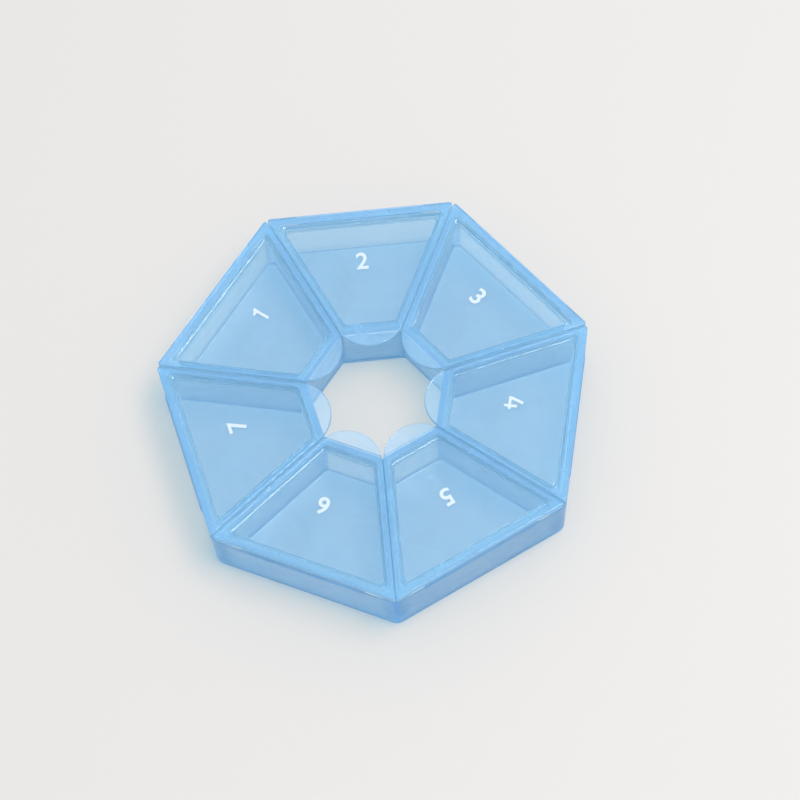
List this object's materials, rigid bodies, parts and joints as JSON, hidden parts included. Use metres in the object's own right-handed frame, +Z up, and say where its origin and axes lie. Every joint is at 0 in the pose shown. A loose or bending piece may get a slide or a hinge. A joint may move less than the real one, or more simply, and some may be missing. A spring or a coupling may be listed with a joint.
{
  "type": "weekly pill organizer",
  "caption": "Seven-sided ring tray of translucent blue plastic with a flip lid on a living hinge over each compartment and an open middle.",
  "frame": {"origin": "centre of the outline at the underside of the tray, on the surface that it rests on; the ring's own centre lies 2.5 mm from it along +Y, because a seven-sided outline reaches further at a corner than at a side", "axes": "+Z up out of the compartments, +Y towards the middle of the Tuesday side, +X to the right of that, towards the Thursday side"},
  "size_m": [0.1106, 0.1082, 0.02],
  "materials": {
    "tray_plastic": "translucent light-blue polypropylene, smooth moulded gloss",
    "lid_plastic": "translucent light-blue polypropylene, smooth moulded gloss",
    "hinge_plastic": "translucent light-blue polypropylene, thin flexed web"
  },
  "bodies": {
    "tray": {"tray": "tray_plastic", "hinge_tue": "hinge_plastic", "hinge_wed": "hinge_plastic", "hinge_thu": "hinge_plastic", "hinge_fri": "hinge_plastic", "hinge_sat": "hinge_plastic", "hinge_sun": "hinge_plastic", "hinge_mon": "hinge_plastic"},
    "lid_tue": {"lid_tue": "lid_plastic"},
    "lid_wed": {"lid_wed": "lid_plastic"},
    "lid_thu": {"lid_thu": "lid_plastic"},
    "lid_fri": {"lid_fri": "lid_plastic"},
    "lid_sat": {"lid_sat": "lid_plastic"},
    "lid_sun": {"lid_sun": "lid_plastic"},
    "lid_mon": {"lid_mon": "lid_plastic"}
  },
  "joints": [
    {"name": "lid_tue_hinge", "type": "hinge", "parent": "tray", "child": "lid_tue", "pos_m": [0, 0.05404, 0.01765], "axis": [-1, 0, 0], "range_deg": [0, 180], "deforming": ["hinge_tue"]},
    {"name": "lid_wed_hinge", "type": "hinge", "parent": "tray", "child": "lid_wed", "pos_m": [0.04027, 0.03465, 0.01765], "axis": [-0.6235, 0.7818, 0], "range_deg": [0, 180], "deforming": ["hinge_wed"]},
    {"name": "lid_thu_hinge", "type": "hinge", "parent": "tray", "child": "lid_thu", "pos_m": [0.05021, -0.00893, 0.01765], "axis": [0.2225, 0.9749, 0], "range_deg": [0, 180], "deforming": ["hinge_thu"]},
    {"name": "lid_fri_hinge", "type": "hinge", "parent": "tray", "child": "lid_fri", "pos_m": [0.02235, -0.04387, 0.01765], "axis": [0.901, 0.4339, 0], "range_deg": [0, 180], "deforming": ["hinge_fri"]},
    {"name": "lid_sat_hinge", "type": "hinge", "parent": "tray", "child": "lid_sat", "pos_m": [-0.02235, -0.04387, 0.01765], "axis": [0.901, -0.4339, 0], "range_deg": [0, 180], "deforming": ["hinge_sat"]},
    {"name": "lid_sun_hinge", "type": "hinge", "parent": "tray", "child": "lid_sun", "pos_m": [-0.05021, -0.00893, 0.01765], "axis": [0.2225, -0.9749, 0], "range_deg": [0, 180], "deforming": ["hinge_sun"]},
    {"name": "lid_mon_hinge", "type": "hinge", "parent": "tray", "child": "lid_mon", "pos_m": [-0.04027, 0.03465, 0.01765], "axis": [-0.6235, -0.7818, 0], "range_deg": [0, 180], "deforming": ["hinge_mon"]}
  ]
}
